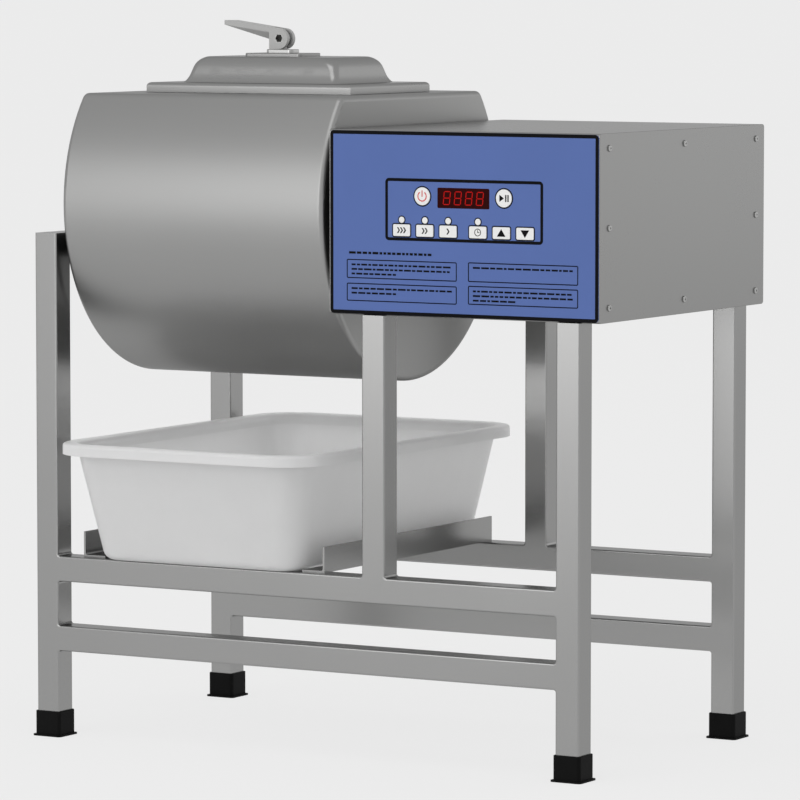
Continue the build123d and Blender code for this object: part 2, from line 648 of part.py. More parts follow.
def indicator_lenses():
    lenses = []
    for x in lens_xs():
        lens = front_slab(Circle(LENS_DIAMETER / 2), x, LENS_ROW_Z, PANEL_FRONT - LENS_PROUD,
                          PANEL_THICKNESS + LENS_PROUD)
        lenses.append(fillet(lens.faces().sort_by(Axis.Y)[0].edges(), LENS_PROUD * 0.9))
    return group(lenses)


def key_switches():
    return group([front_slab(Rectangle(SWITCH_SIZE, SWITCH_SIZE), x, z, SWITCH_FRONT, SWITCH_SIZE)
                  for outline, x, z in key_places().values()])


def control_board():
    outline = RectangleRounded(BOARD_LENGTH, BOARD_HEIGHT, KEY_CORNER)
    return front_slab(outline, PANEL_WINDOW_CENTRE_X, PANEL_WINDOW_CENTRE_Z, BOARD_FRONT, BOARD_THICKNESS)


def board_standoffs():
    reach_x = BOARD_LENGTH / 2 - STANDOFF_INSET
    reach_z = BOARD_HEIGHT / 2 - STANDOFF_INSET
    return group([front_slab(Circle(STANDOFF_DIAMETER / 2), PANEL_WINDOW_CENTRE_X + side * reach_x,
                             PANEL_WINDOW_CENTRE_Z + level * reach_z, HOUSING_FRONT + SHEET, BOARD_GAP)
                  for side in (-1, 1) for level in (-1, 1)])


# Belt drive

MOTOR_Z = HOUSING_FLOOR + MOTOR_CENTRE_HEIGHT
MOTOR_DROP = DRUM_AXIS_HEIGHT - MOTOR_Z
MOTOR_Y = (PULLEY_DISTANCE ** 2 - MOTOR_DROP ** 2) ** 0.5
BELT_X = HOUSING_LEFT + PULLEY_X
PULLEY_WIDTH = BELT_TOP_WIDTH + 2 * PULLEY_RIM


def pulley(radius, y, z, hub_diameter, bore):
    """A grooved wheel with its hub towards +X; a large one is thinned to a web inside its rim."""
    half, outer = PULLEY_WIDTH / 2, radius + BELT_HEIGHT / 2
    floor = radius - BELT_HEIGHT / 2 - BELT_CLEARANCE
    mouth = BELT_TOP_WIDTH / 2 + BELT_CLEARANCE
    bottom = BELT_BOTTOM_WIDTH / 2 + BELT_CLEARANCE
    profile = make_face(Polyline((-half, 0), (half, 0), (half, outer), (mouth, outer), (bottom, floor),
                                 (-bottom, floor), (-mouth, outer), (-half, outer), close=True))
    wheel = Pos(BELT_X, y, z) * revolve(profile, Axis.X)
    ring = 2 * (floor - PULLEY_RING)
    if ring > hub_diameter:
        for x0, x1 in ((-half, -PULLEY_WEB / 2), (PULLEY_WEB / 2, half)):
            wheel -= rod_x(BELT_X + x0, BELT_X + x1, y, z, ring)
    end = PULLEY_HUB_LENGTH - half
    wheel += rod_x(BELT_X - half, BELT_X + end, y, z, hub_diameter)
    return wheel - rod_x(BELT_X - half, BELT_X + end, y, z, bore)


def drive_belt():
    """A wedge belt round both pulleys, drawn along the middle of its height."""
    heading = atan2(-MOTOR_DROP, MOTOR_Y)
    tilt = acos((DRIVEN_PULLEY_RADIUS - DRIVE_PULLEY_RADIUS) / PULLEY_DISTANCE)

    def on_driven(angle):
        radius = DRIVEN_PULLEY_RADIUS
        return (BELT_X, radius * cos(angle), DRUM_AXIS_HEIGHT + radius * sin(angle))

    def on_drive(angle):
        radius = DRIVE_PULLEY_RADIUS
        return (BELT_X, MOTOR_Y + radius * cos(angle), MOTOR_Z + radius * sin(angle))

    upper, lower = heading + tilt, heading - tilt
    path = Wire([Line(on_driven(upper), on_drive(upper)),
                 ThreePointArc(on_drive(upper), on_drive(heading), on_drive(lower)),
                 Line(on_drive(lower), on_driven(lower)),
                 ThreePointArc(on_driven(lower), on_driven(heading + pi), on_driven(upper))])
    top, bottom, half = BELT_TOP_WIDTH / 2, BELT_BOTTOM_WIDTH / 2, BELT_HEIGHT / 2
    section = make_face(Polyline((half, -top), (half, top), (-half, bottom), (-half, -bottom), close=True))
    start = Plane(origin=on_driven(upper), x_dir=(0, cos(upper), sin(upper)), z_dir=path % 0)
    return sweep(start * section, path=path)


GEARBOX_LEFT = HOUSING_LEFT + GEARBOX_X
MOTOR_FOOT_X = GEARBOX_LEFT + GEARBOX_LENGTH / 2


def motor_bolt_places():
    return [(MOTOR_FOOT_X, MOTOR_Y + side * MOTOR_BOLT_SPACING / 2) for side in (-1, 1)]


def gear_motor():
    """Gearbox on a foot, finned motor behind it and a fan cover at the end."""
    gearbox_end = GEARBOX_LEFT + GEARBOX_LENGTH
    motor_end = gearbox_end + MOTOR_LENGTH
    body = rod_x(GEARBOX_LEFT, gearbox_end, MOTOR_Y, MOTOR_Z, GEARBOX_DIAMETER)
    body += rod_x(GEARBOX_LEFT - GEARBOX_BOSS_LENGTH, GEARBOX_LEFT, MOTOR_Y, MOTOR_Z, GEARBOX_BOSS_DIAMETER)
    body += rod_x(gearbox_end, motor_end, MOTOR_Y, MOTOR_Z, MOTOR_DIAMETER)
    outer = MOTOR_DIAMETER + 2 * MOTOR_FIN_HEIGHT
    body += rod_x(motor_end, motor_end + FAN_COVER_LENGTH, MOTOR_Y, MOTOR_Z, outer)
    fin = Pos(outer / 4, 0) * Rectangle(outer / 2, MOTOR_FIN_WIDTH)
    fins = Sketch() + [Rot(0, 0, turn * 360 / MOTOR_FIN_COUNT) * fin for turn in range(MOTOR_FIN_COUNT)]
    body += extrude(Plane.YZ.offset(gearbox_end) * Pos(MOTOR_Y, MOTOR_Z) * fins, MOTOR_LENGTH)
    half = MOTOR_FOOT_WIDTH / 2
    body += box_span(GEARBOX_LEFT, gearbox_end, MOTOR_Y - half, MOTOR_Y + half,
                     HOUSING_FLOOR, HOUSING_FLOOR + MOTOR_FOOT_THICKNESS)
    web = GEARBOX_DIAMETER / 3
    body += box_span(GEARBOX_LEFT, gearbox_end, MOTOR_Y - web, MOTOR_Y + web, HOUSING_FLOOR, MOTOR_Z)
    for x, y in motor_bolt_places():
        body -= rod_z(HOUSING_FLOOR, HOUSING_FLOOR + MOTOR_FOOT_THICKNESS, x, y,
                      BOLT_DIAMETER + 2 * BOLT_HOLE_CLEARANCE)
    bore = MOTOR_SHAFT_DIAMETER + 2 * SHAFT_RUNNING_CLEARANCE
    return body - rod_x(GEARBOX_LEFT - GEARBOX_BOSS_LENGTH, GEARBOX_LEFT + MOTOR_SHAFT_DEPTH,
                        MOTOR_Y, MOTOR_Z, bore)


def motor_shaft():
    return rod_x(BELT_X - PULLEY_WIDTH / 2, GEARBOX_LEFT + MOTOR_SHAFT_DEPTH, MOTOR_Y, MOTOR_Z,
                 MOTOR_SHAFT_DIAMETER)


# Lid

FLANGE_Z = FLAT_Z + LID_GAP
FLANGE_TOP = FLANGE_Z + LID_FLANGE_HEIGHT
DOME_TOP = FLANGE_TOP + DOME_HEIGHT
CLAMP_X = LID_X + CLAMP_OFFSET
ROD_HOLE = ROD_DIAMETER + 2 * ROD_HOLE_CLEARANCE
TRAY_FLOOR = FLAT_Z - TRAY_DEPTH
SEAL_FLOOR = TRAY_FLOOR - SEAL_HEIGHT
PLATE_FLOOR = SEAL_FLOOR - PRESSURE_PLATE


def dome(inset):
    """The lid's raised middle with a flared foot and a soft top, or its inside when inset by the sheet."""
    sections = []
    for height, lean in DOME_LEVELS:
        back = 2 * (inset + lean * DOME_LEAN)
        corner = DOME_CORNER + lean * (DOME_TOP_CORNER - DOME_CORNER)
        outline = RectangleRounded(DOME_LENGTH - back, DOME_WIDTH - back, corner)
        sections.append(Plane.XY.offset(FLANGE_TOP - inset + height * DOME_HEIGHT) * Pos(LID_X, 0) * outline)
    return loft(sections)


def flange_block(inset):
    """The lid's flange as a block with a rounded top edge, or its inside when inset by the sheet."""
    length, width = LID_LENGTH - 2 * inset, LID_WIDTH - 2 * inset
    outline = Pos(LID_X, 0) * Rectangle(length, width)
    block = extrude(Plane.XY.offset(FLANGE_Z) * outline, LID_FLANGE_HEIGHT - inset)
    return fillet(block.faces().sort_by(Axis.Z)[-1].edges(), LID_FLANGE_EDGE - inset)


def lid_pan():
    """One pressed sheet: a flange with turned-down edges and a dome in the middle."""
    pan = flange_block(0) + dome(0) - flange_block(LID_SHEET) - dome(LID_SHEET)
    return pan - rod_z(FLANGE_TOP, DOME_TOP, CLAMP_X, 0, ROD_HOLE)


def lid_tray():
    """The inner sheet of the lid: a rim under the flange and a flat floor down in the opening."""
    top = FLANGE_TOP - LID_SHEET
    grow = TRAY_RIM - PLUG_CLEARANCE
    tray = opening_slab(grow, top - LID_SHEET, top) + opening_slab(-PLUG_CLEARANCE, TRAY_FLOOR, top)
    tray -= opening_slab(-PLUG_CLEARANCE - LID_SHEET, TRAY_FLOOR + LID_SHEET, top)
    return tray - rod_z(TRAY_FLOOR, top, CLAMP_X, 0, ROD_HOLE)


def lid_gasket():
    """A flat rubber ring between the tray's rim and the drum's flat."""
    top = FLANGE_TOP - 2 * LID_SHEET
    length = LID_LENGTH - 2 * LID_SHEET - 2 * GASKET_INSET
    width = LID_WIDTH - 2 * LID_SHEET - 2 * GASKET_INSET
    ring = slab(LID_X, 0, FLAT_Z + LID_GAP, top, length, width, GASKET_CORNER)
    return ring - opening_slab(COLLAR_WALL + SEAL_CLEARANCE, FLAT_Z, top)


def plug_seal():
    """The rubber ring that the pressure plate squeezes outwards against the collar."""
    return opening_slab(-SEAL_CLEARANCE, SEAL_FLOOR, TRAY_FLOOR) - opening_slab(
        -SEAL_WIDTH, SEAL_FLOOR, TRAY_FLOOR)


def pressure_plate():
    plate = opening_slab(-PLUG_CLEARANCE, PLATE_FLOOR, SEAL_FLOOR)
    return plate - rod_z(PLATE_FLOOR, SEAL_FLOOR, CLAMP_X, 0, ROD_DIAMETER)


# Cam clamp

PLATE_TOP = DOME_TOP + CLAMP_PLATE_THICKNESS
PAD_TOP = PLATE_TOP + PAD_THICKNESS
PIVOT_Z = PAD_TOP + CAM_RADIUS + CAM_THROW + CAM_CLEARANCE
NUT_FLOOR = PLATE_FLOOR - NUT_HEIGHT


def clamp_plate():
    plate = slab(CLAMP_X, 0, DOME_TOP, PLATE_TOP, CLAMP_PLATE_LENGTH, CLAMP_PLATE_WIDTH, CLAMP_PLATE_CORNER)
    plate = fillet(plate.faces().sort_by(Axis.Z)[-1].edges(), CLAMP_PLATE_THICKNESS / 3)
    return plate - rod_z(DOME_TOP, PLATE_TOP, CLAMP_X, 0, ROD_HOLE)


def cam_pad():
    pad = slab(CLAMP_X, 0, PLATE_TOP, PAD_TOP, PAD_LENGTH, PAD_WIDTH, PAD_CORNER)
    pad = fillet(pad.faces().sort_by(Axis.Z)[-1].edges(), PAD_THICKNESS / 4)
    return pad - rod_z(PLATE_TOP, PAD_TOP, CLAMP_X, 0, ROD_HOLE)


def at_pivot(sketch):
    return Plane.XZ * Pos(CLAMP_X, PIVOT_Z) * sketch


def cam_lever():
    """A forked lever: eccentric cheeks on the pin, and a handle that thins towards its tip."""
    back, drop = -LEVER_CHEEK_BACK, -CAM_RADIUS - CAM_THROW
    tip, rise = -LEVER_LENGTH, LEVER_TIP_RISE
    cam = Pos(-CAM_THROW, -CAM_THROW) * Circle(CAM_RADIUS)
    cheek = cam + make_face(Polyline((back, drop), (-CAM_THROW, drop), (-CAM_THROW, CAM_RADIUS - CAM_THROW),
                                     (back, CAM_RADIUS - CAM_THROW), close=True))
    handle = make_face(Polyline(
        (0, CAM_RADIUS - CAM_THROW), (tip + LEVER_TIP_FLAT, rise), (tip, rise),
        (tip, rise - LEVER_TIP_HEIGHT), (back, -LEVER_NECK_DROP), (0, -LEVER_NECK_DROP), close=True))
    lever = extrude(at_pivot(cheek + handle), LEVER_WIDTH / 2, both=True)
    for side in (-1, 1):
        lever -= side_taper(side)
        lever -= side_bevel(side)
    slot_end = EYE_RADIUS + ROD_HOLE_CLEARANCE * 4
    lever -= box_span(CLAMP_X - slot_end, CLAMP_X + LEVER_LENGTH, -LEVER_SLOT / 2, LEVER_SLOT / 2,
                      PIVOT_Z - 2 * CAM_RADIUS, PIVOT_Z + 2 * CAM_RADIUS)
    return lever - rod_y(-LEVER_WIDTH, LEVER_WIDTH, CLAMP_X, PIVOT_Z, PIN_DIAMETER)


def side_taper(side):
    """What is cut off one side of the handle, from the cheek to the tip."""
    near, far = CLAMP_X - LEVER_CHEEK_BACK, CLAMP_X - LEVER_LENGTH - 1
    wide, narrow, beyond = LEVER_WIDTH / 2, LEVER_TIP_WIDTH / 2, LEVER_WIDTH
    outline = make_face(Polyline((near, side * wide), (far, side * narrow), (far, side * beyond),
                                 (near, side * beyond), close=True))
    return extrude(Plane.XY.offset(PIVOT_Z - 2 * CAM_RADIUS) * outline, 4 * CAM_RADIUS)


def side_bevel(side):
    """What is cut off under one side of the handle: nothing at the tip, most of its height at the cheek."""
    near, far = CLAMP_X - LEVER_CHEEK_BACK, CLAMP_X - LEVER_LENGTH
    edge = LEVER_WIDTH / 2
    tip = Vector(far, side * LEVER_TIP_WIDTH / 2, PIVOT_Z + LEVER_TIP_RISE - LEVER_TIP_HEIGHT)
    high = Vector(near, side * edge, PIVOT_Z + LEVER_BEVEL_RISE)
    low = Vector(near, side * (edge - LEVER_BEVEL_DEPTH), PIVOT_Z - LEVER_NECK_DROP)
    normal = (high - tip).cross(low - tip) * side
    outer = Plane(origin=tip, x_dir=high - tip, z_dir=normal)
    reach = 4 * LEVER_LENGTH
    beyond = outer * Box(reach, reach, LEVER_LENGTH, align=(Align.CENTER, Align.CENTER, Align.MIN))
    handle = box_span(far - 1, near, min(0, side * LEVER_WIDTH), max(0, side * LEVER_WIDTH),
                      PIVOT_Z - 2 * CAM_RADIUS, PIVOT_Z + 2 * LEVER_TIP_RISE)
    return handle & beyond


def pivot_pin():
    half = LEVER_WIDTH / 2
    pin = rod_y(-half, half, CLAMP_X, PIVOT_Z, PIN_DIAMETER)
    socket = Pos(CLAMP_X, -half, PIVOT_Z) * Rot(-90, 0, 0) * hexagon_z(0, PIN_SOCKET_DEPTH, 0, 0, PIN_SOCKET)
    return pin - socket


def clamp_rod():
    """An eye for the pin on a round rod that runs down through the lid to the pressure plate."""
    half = LEVER_SLOT / 2 - EYE_SIDE_CLEARANCE
    flats = box_span(CLAMP_X - EYE_RADIUS, CLAMP_X + EYE_RADIUS, -half, half, PLATE_TOP, PIVOT_Z)
    rod = rod_z(NUT_FLOOR - ROD_TAIL, PLATE_TOP, CLAMP_X, 0, ROD_DIAMETER)
    rod += flats & rod_z(PLATE_TOP, PIVOT_Z, CLAMP_X, 0, ROD_DIAMETER)
    rod += rod_y(-half, half, CLAMP_X, PIVOT_Z, 2 * EYE_RADIUS)
    return rod - rod_y(-half, half, CLAMP_X, PIVOT_Z, PIN_DIAMETER + 2 * SHAFT_RUNNING_CLEARANCE)


def rod_nut():
    nut = hexagon_z(NUT_FLOOR, PLATE_FLOOR, CLAMP_X, 0, NUT_ACROSS_FLATS)
    return nut - rod_z(NUT_FLOOR, PLATE_FLOOR, CLAMP_X, 0, ROD_DIAMETER)


# Tub

def meat_tub():
    """A tapered plastic tub with a turned-down rim, standing on the upper rails between the angles."""
    x = TUB_X
    floor = UPPER_RAIL_TOP
    rim_top = floor + TUB_HEIGHT
    neck = rim_top - TUB_RIM_HEIGHT

    def body(inset):
        top_length = TUB_RIM_LENGTH - 2 * TUB_RIM_REACH - 2 * inset
        top_depth = TUB_RIM_DEPTH - 2 * TUB_RIM_REACH - 2 * inset
        base = RectangleRounded(TUB_FLOOR_LENGTH - 2 * inset, TUB_FLOOR_DEPTH - 2 * inset,
                                TUB_FLOOR_CORNER - inset)
        mouth = RectangleRounded(top_length, top_depth, TUB_RIM_CORNER - TUB_RIM_REACH - inset)
        ends = ((floor + inset, base), (neck, mouth))
        solid = loft([Plane.XY.offset(z) * Pos(x, 0) * outline for z, outline in ends])
        solid = fillet(solid.faces().sort_by(Axis.Z)[0].edges(), TUB_FLOOR_EDGE - inset)
        return solid + extrude(Plane.XY.offset(neck) * Pos(x, 0) * mouth, TUB_RIM_HEIGHT)

    rim = slab(x, 0, neck, rim_top, TUB_RIM_LENGTH, TUB_RIM_DEPTH, TUB_RIM_CORNER)
    rim = fillet(rim.faces().sort_by(Axis.Z)[-1].edges(), TUB_RIM_EDGE)
    rim -= slab(x, 0, neck, rim_top - TUB_WALL, TUB_RIM_LENGTH - 2 * TUB_WALL, TUB_RIM_DEPTH - 2 * TUB_WALL,
                TUB_RIM_CORNER - TUB_WALL)
    tub = rim + body(0) - body(TUB_WALL)
    lip = tub.faces().filter_by(Axis.Z).sort_by(Axis.Z)[-1].inner_wires()[0].edges()
    return fillet(lip, TUB_LIP_EDGE)


def build():
    nodes = {}
    for side, y in (("front", -POST_Y), ("back", POST_Y)):
        for name, tube in ladder(y).items():
            nodes[f"{side}_{name}"] = tube
    nodes["bearing_beam"] = bearing_beam()
    foot_xs = (FRAME_LEFT + TUBE / 2, FRAME_RIGHT - TUBE / 2)
    nodes["rubber_feet"] = group([rubber_foot(x, y) for x in foot_xs for y in (-POST_Y, POST_Y)])
    nodes["left_tub_rail"] = tub_rail(-1)
    nodes["right_tub_rail"] = tub_rail(1)
    nodes["meat_tub"] = meat_tub()

    outer_block = HOUSING_LEFT + OUTER_BLOCK_X
    block_xs = (FRAME_LEFT + TUBE / 2, HOUSING_LEFT + INNER_BLOCK_X, outer_block)
    nodes["pillow_blocks"] = group([pillow_block(x) for x in block_xs])
    nodes["bearing_inserts"] = group([bearing_insert(x) for x in block_xs])
    nodes["bearing_pedestals"] = group([pedestal(x) for x in block_xs[1:]])
    foot_top = LEFT_POST_TOP + BLOCK_FOOT
    bolts = [hex_bolt(x, y, foot_top, BLOCK_FOOT) for x in block_xs for y in block_bolt_ys()]
    motor_seat = HOUSING_FLOOR + MOTOR_FOOT_THICKNESS
    bolts += [hex_bolt(x, y, motor_seat, MOTOR_FOOT_THICKNESS - BOLT_TAIL) for x, y in motor_bolt_places()]
    nodes["hex_bolts"] = group(bolts)

    nodes["drum_shell"] = drum_shell()
    nodes["opening_collar"] = opening_collar()
    nodes["mixing_vanes"] = mixing_vanes()
    nodes["left_drum_shaft"] = drum_shaft(DRUM_LEFT, FRAME_LEFT - SHAFT_END)
    shaft_end = outer_block + BLOCK_WIDTH / 2 + INSERT_PROUD + SHAFT_END
    nodes["right_drum_shaft"] = drum_shaft(DRUM_RIGHT, shaft_end)

    nodes["drive_housing"] = drive_housing()
    nodes["side_cover"] = side_cover()
    nodes["side_cover_screws"] = group([cover_screw(y, z) for y, z in cover_screw_places()])
    nodes["power_gland"] = power_gland()
    nodes["panel_overlay"] = panel_overlay()
    nodes["display_window"] = display_window()
    nodes["display_module"] = display_module()
    nodes["indicator_lenses"] = indicator_lenses()
    nodes["control_board"] = control_board()
    nodes["board_standoffs"] = board_standoffs()
    nodes["key_switches"] = key_switches()
    for name, (outline, x, z) in key_places().items():
        nodes[name] = key(outline, x, z)

    nodes["driven_pulley"] = pulley(DRIVEN_PULLEY_RADIUS, 0, DRUM_AXIS_HEIGHT,
                                    DRIVEN_HUB_DIAMETER, SHAFT_DIAMETER)
    nodes["drive_pulley"] = pulley(DRIVE_PULLEY_RADIUS, MOTOR_Y, MOTOR_Z,
                                   DRIVE_HUB_DIAMETER, MOTOR_SHAFT_DIAMETER)
    nodes["drive_belt"] = drive_belt()
    nodes["gear_motor"] = gear_motor()
    nodes["motor_shaft"] = motor_shaft()

    nodes["lid_pan"] = lid_pan()
    nodes["lid_tray"] = lid_tray()
    nodes["lid_gasket"] = lid_gasket()
    nodes["plug_seal"] = plug_seal()
    nodes["clamp_plate"] = clamp_plate()
    nodes["cam_pad"] = cam_pad()
    nodes["clamp_rod"] = clamp_rod()
    nodes["pressure_plate"] = pressure_plate()
    nodes["rod_nut"] = rod_nut()
    nodes["cam_lever"] = cam_lever()
    nodes["pivot_pin"] = pivot_pin()
    return nodes


os.makedirs("parts", exist_ok=True)
for node, shape in build().items():
    export_step(shape, f"parts/{node}.step")
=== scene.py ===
import json
import math
import random

import bmesh
import bpy
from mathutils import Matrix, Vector


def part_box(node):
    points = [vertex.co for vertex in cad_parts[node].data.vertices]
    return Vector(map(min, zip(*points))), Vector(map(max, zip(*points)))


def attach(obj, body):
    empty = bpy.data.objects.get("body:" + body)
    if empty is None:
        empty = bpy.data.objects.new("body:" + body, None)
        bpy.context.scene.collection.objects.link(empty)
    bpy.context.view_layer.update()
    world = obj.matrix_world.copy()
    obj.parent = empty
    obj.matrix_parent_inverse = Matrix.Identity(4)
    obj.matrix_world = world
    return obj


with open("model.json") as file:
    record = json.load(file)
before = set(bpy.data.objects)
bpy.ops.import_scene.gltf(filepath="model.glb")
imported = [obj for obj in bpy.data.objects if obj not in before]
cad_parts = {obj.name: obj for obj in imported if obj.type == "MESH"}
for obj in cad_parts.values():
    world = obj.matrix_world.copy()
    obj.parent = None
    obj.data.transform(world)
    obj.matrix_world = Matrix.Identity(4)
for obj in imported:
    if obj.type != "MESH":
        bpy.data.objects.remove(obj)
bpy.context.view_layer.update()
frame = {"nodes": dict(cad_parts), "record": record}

MM = 0.001

# Camera, as fitted to the edges of the stand and the housing
CAMERA_PLACE = (3.9209, -6.6935, 1.1582)
CAMERA_AZIMUTH = 30.3408
CAMERA_DOWN = 4.8001
CAMERA_LENS = 234.58
CAMERA_REACH = 1000.0
SENSOR_WIDTH = 36.0

# Floor: a plane that runs out of sight, with a share of plain glow for each kind of ray
FLOOR_SIZE = 600.0
FLOOR_TONES = (0.80, 0.82)
FLOOR_CLOUDS = 0.6
FLOOR_ROUGHNESS = (0.85, 0.95)
FLOOR_SPECULAR = 0.1
FLOOR_GLOW = 0.865
FLOOR_SHARES = {"Is Camera Ray": 0.88, "Is Glossy Ray": 0.9, "Is Transmission Ray": 0.88}

# World: its grey from straight down, at 0, to straight up, at 1
WORLD_TONES = ((0.0, 0.838), (0.57, 0.838), (0.62, 0.80), (0.78, 0.74), (1.0, 0.68))

# Softboxes: place, target, width and height in metres, and power in watts
SOFTBOXES = {
    "front_softbox": ((-1.75, -5.6, 1.75), (0.0, 0.0, 0.9), (3.3, 3.3), 60.0),
    "top_softbox": ((0.6, -2.4, 4.2), (0.0, 0.0, 0.6), (3.4, 2.4), 26.0),
    "back_softbox": ((1.8, 5.2, 1.6), (0.0, 0.0, 0.7), (4.0, 2.4), 11.0),
}

# Steel: colours, the stretch of the grain along each axis, and what all steels share
SHEET = (0.315, 0.315, 0.312)
DRUM = (0.338, 0.338, 0.335)
TUBE = (0.330, 0.330, 0.327)
MACHINED = (0.30, 0.30, 0.30)
POLISHED = (0.40, 0.40, 0.395)
BRIGHT = (0.44, 0.44, 0.435)
BLASTED = (0.46, 0.46, 0.455)
ALONG_X = (4, 420, 420)
ALONG_Y = (420, 4, 420)
ALONG_Z = (420, 420, 4)
FINE_GRAIN = (700, 700, 700)
COARSE_GRAIN = (90, 90, 90)
EDGE_TINT = 0.55
STEEL_CLOUDS = 5.0
STEEL_BUMP = 0.004
STEEL_SWING = 0.012

# Moulded materials: what they all share
MOULDED_CLOUDS = 9.0
MOULDED_SMOOTHER = 0.05
MOULDED_ROUGHER = 0.07
MILKY_DEPTH = 0.03

# Lit segments behind the display's window
GLOW_GRAIN = 900.0
GLOW_ROUGHNESS = (0.3, 0.4)
GLOW_SPECULAR = 0.05

# All materials
EVEN = (1, 1, 1)
BUMP_DEPTH = 0.0002
NOISE_LOW = 0.3
NOISE_HIGH = 0.7


# Materials

def grey(tone):
    return (tone, tone, tone)


def shade(colour, factor):
    return tuple(min(1.0, channel * factor) for channel in colour)


class Nodes:
    """A material's node tree, with short ways to add and link nodes."""

    def __init__(self, name):
        self.material = bpy.data.materials.new(name)
        self.material.use_nodes = True
        self.tree = self.material.node_tree
        self.shader = self.tree.nodes["Principled BSDF"]

    def add(self, kind, **values):
        node = self.tree.nodes.new(kind)
        for key, value in values.items():
            setattr(node, key, value)
        return node

    def link(self, source, target):
        self.tree.links.new(source, target)

    def place(self, stretch):
        """The point on the surface in metres, stretched along each axis."""
        coords = self.add("ShaderNodeTexCoord")
        mapping = self.add("ShaderNodeMapping")
        mapping.inputs["Scale"].default_value = stretch
        self.link(coords.outputs["Object"], mapping.inputs["Vector"])
        return mapping.outputs["Vector"]

    def noise(self, stretch, scale, detail=3.0, roughness=0.5):
        noise = self.add("ShaderNodeTexNoise")
        noise.inputs["Scale"].default_value = scale
        noise.inputs["Detail"].default_value = detail
        noise.inputs["Roughness"].default_value = roughness
        self.link(self.place(stretch), noise.inputs["Vector"])
        return noise.outputs["Fac"]

    def spread(self, value, low, high):
        """The middle of a noise's range, mapped to low and high."""
        span = self.add("ShaderNodeMapRange")
        span.inputs["From Min"].default_value = NOISE_LOW
        span.inputs["From Max"].default_value = NOISE_HIGH
        span.inputs["To Min"].default_value = low
        span.inputs["To Max"].default_value = high
        self.link(value, span.inputs["Value"])
        return span.outputs["Result"]

    def tint(self, value, dark, light):
        """The middle of a noise's range, mapped to two colours."""
        ramp = self.add("ShaderNodeValToRGB")
        ramp.color_ramp.elements[0].position = NOISE_LOW
        ramp.color_ramp.elements[1].position = NOISE_HIGH
        ramp.color_ramp.elements[0].color = (*dark, 1)
        ramp.color_ramp.elements[1].color = (*light, 1)
        self.link(value, ramp.inputs["Fac"])
        return ramp.outputs["Color"]

    def bump(self, value, strength):
        bump = self.add("ShaderNodeBump")
        bump.inputs["Strength"].default_value = strength
        bump.inputs["Distance"].default_value = BUMP_DEPTH
        self.link(value, bump.inputs["Height"])
        self.link(bump.outputs["Normal"], self.shader.inputs["Normal"])

    def finish(self, colour, roughness, metallic=0.0, specular=0.5):
        self.link(colour, self.shader.inputs["Base Color"])
        self.link(roughness, self.shader.inputs["Roughness"])
        self.shader.inputs["Metallic"].default_value = metallic
        self.shader.inputs["Specular IOR Level"].default_value = specular
        return self.material


def steel(name, colour, roughness, grain, streak=0.014, metallic=1.0):
    """Satin steel: fine streaks along the grain, and broad soft clouding from handling."""
    n = Nodes(name)
    streaks = n.noise(grain, 1.0, detail=4.0, roughness=0.6)
    clouds = n.noise(EVEN, STEEL_CLOUDS, detail=2.0)
    mixed = n.add("ShaderNodeMix", data_type="FLOAT")
    mixed.inputs["Factor"].default_value = 0.5
    n.link(streaks, mixed.inputs["A"])
    n.link(clouds, mixed.inputs["B"])
    n.bump(streaks, STEEL_BUMP)
    n.shader.inputs["Specular Tint"].default_value = (*grey(EDGE_TINT), 1)
    tone = n.tint(mixed.outputs["Result"], shade(colour, 1 - streak), shade(colour, 1 + streak))
    rough = n.spread(mixed.outputs["Result"], roughness - STEEL_SWING, roughness + STEEL_SWING)
    return n.finish(tone, rough, metallic=metallic)


def moulded(name, colour, roughness, grain_size, variation=0.05, bump=0.05, specular=0.5, milky=0.0):
    """Moulded plastic, rubber or paint: a fine even texture with faint clouding."""
    n = Nodes(name)
    grain = n.noise(EVEN, 1.0 / grain_size, detail=2.0)
    clouds = n.noise(EVEN, MOULDED_CLOUDS, detail=3.0)
    n.bump(grain, bump)
    tone = n.tint(clouds, shade(colour, 1 - variation), shade(colour, 1 + variation))
    n.shader.inputs["Subsurface Weight"].default_value = milky
    n.shader.inputs["Subsurface Radius"].default_value = EVEN
    n.shader.inputs["Subsurface Scale"].default_value = MILKY_DEPTH
    rough = n.spread(grain, roughness - MOULDED_SMOOTHER, roughness + MOULDED_ROUGHER)
    return n.finish(tone, rough, specular=specular)


def glowing(name, dark, light, strength):
    """Lit segments: a faint glow of uneven colour."""
    n = Nodes(name)
    glow = n.noise(EVEN, GLOW_GRAIN)
    tone = n.tint(glow, dark, light)
    n.link(tone, n.shader.inputs["Emission Color"])
    n.shader.inputs["Emission Strength"].default_value = strength
    return n.finish(tone, n.spread(glow, *GLOW_ROUGHNESS), specular=GLOW_SPECULAR)


